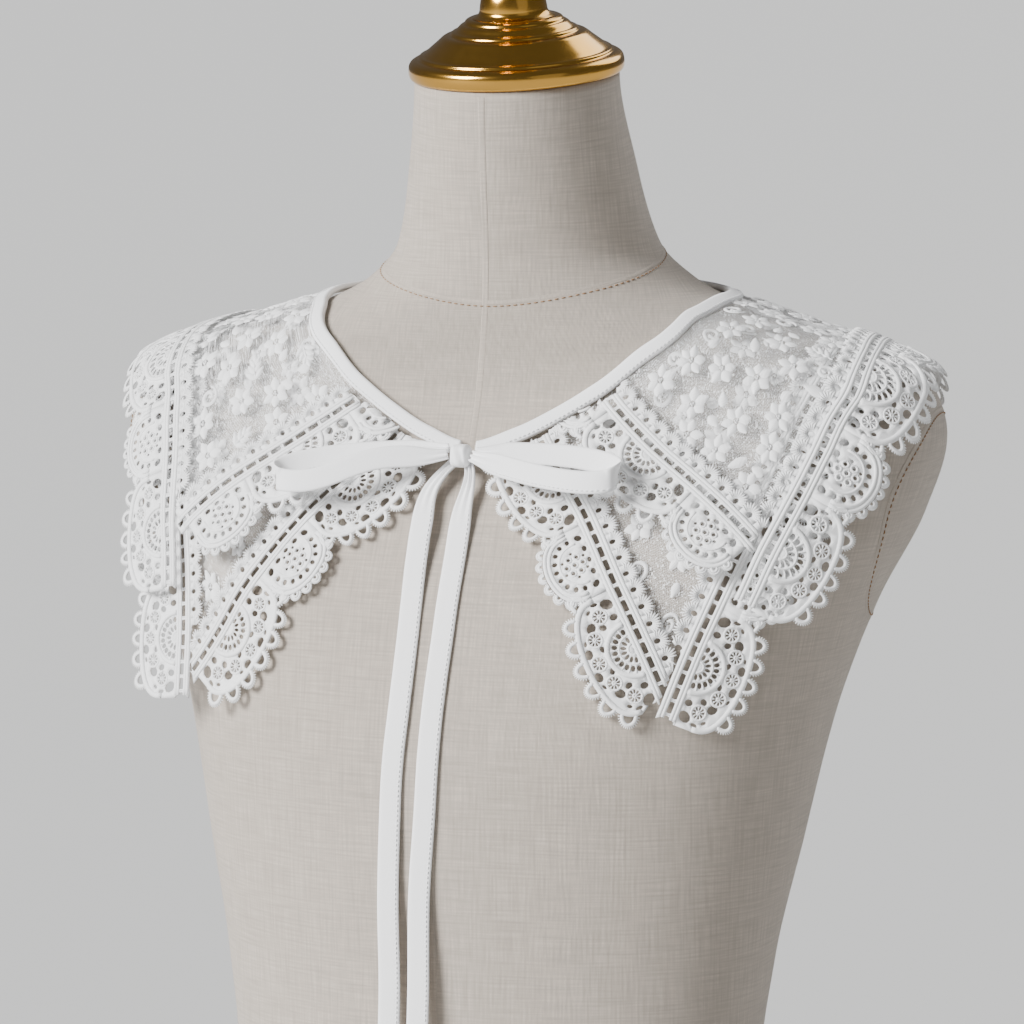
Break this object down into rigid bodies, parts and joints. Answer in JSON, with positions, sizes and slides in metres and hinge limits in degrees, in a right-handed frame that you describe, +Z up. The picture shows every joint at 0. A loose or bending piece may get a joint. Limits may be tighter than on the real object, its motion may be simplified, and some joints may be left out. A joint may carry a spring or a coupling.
{
  "type": "lace collar on a dress form",
  "caption": "Double-layer lace cape collar with scalloped edging and a tape bow, worn on a linen-covered dress form with a turned metal neck cap.",
  "frame": {"origin": "centre of the dress form's flat underside", "axes": "+Z up along the neck, -Y towards the front, +X to the wearer's left"},
  "size_m": [0.4221, 0.2484, 0.6851],
  "materials": {
    "linen": "matte plain weave",
    "lace": "matte cotton guipure",
    "net": "sheer net with satin-stitch embroidery",
    "tape": "smooth folded cotton tape",
    "brass": "polished"
  },
  "bodies": {
    "root": {"dress_form": "linen", "neck_cap": "brass", "finial": "brass", "lower_panel": "net", "lower_trim_front_left": "lace", "lower_trim_front_right": "lace", "lower_trim_side_left": "lace", "lower_trim_side_right": "lace", "lower_trim_back": "lace", "upper_panel": "net", "upper_trim_front_left": "lace", "upper_trim_front_right": "lace", "upper_trim_side_left": "lace", "upper_trim_side_right": "lace", "upper_trim_back": "lace", "neckband": "tape", "knot": "tape", "bow_left": "tape", "bow_right": "tape", "tail_left": "tape", "tail_right": "tape"}
  },
  "joints": []
}
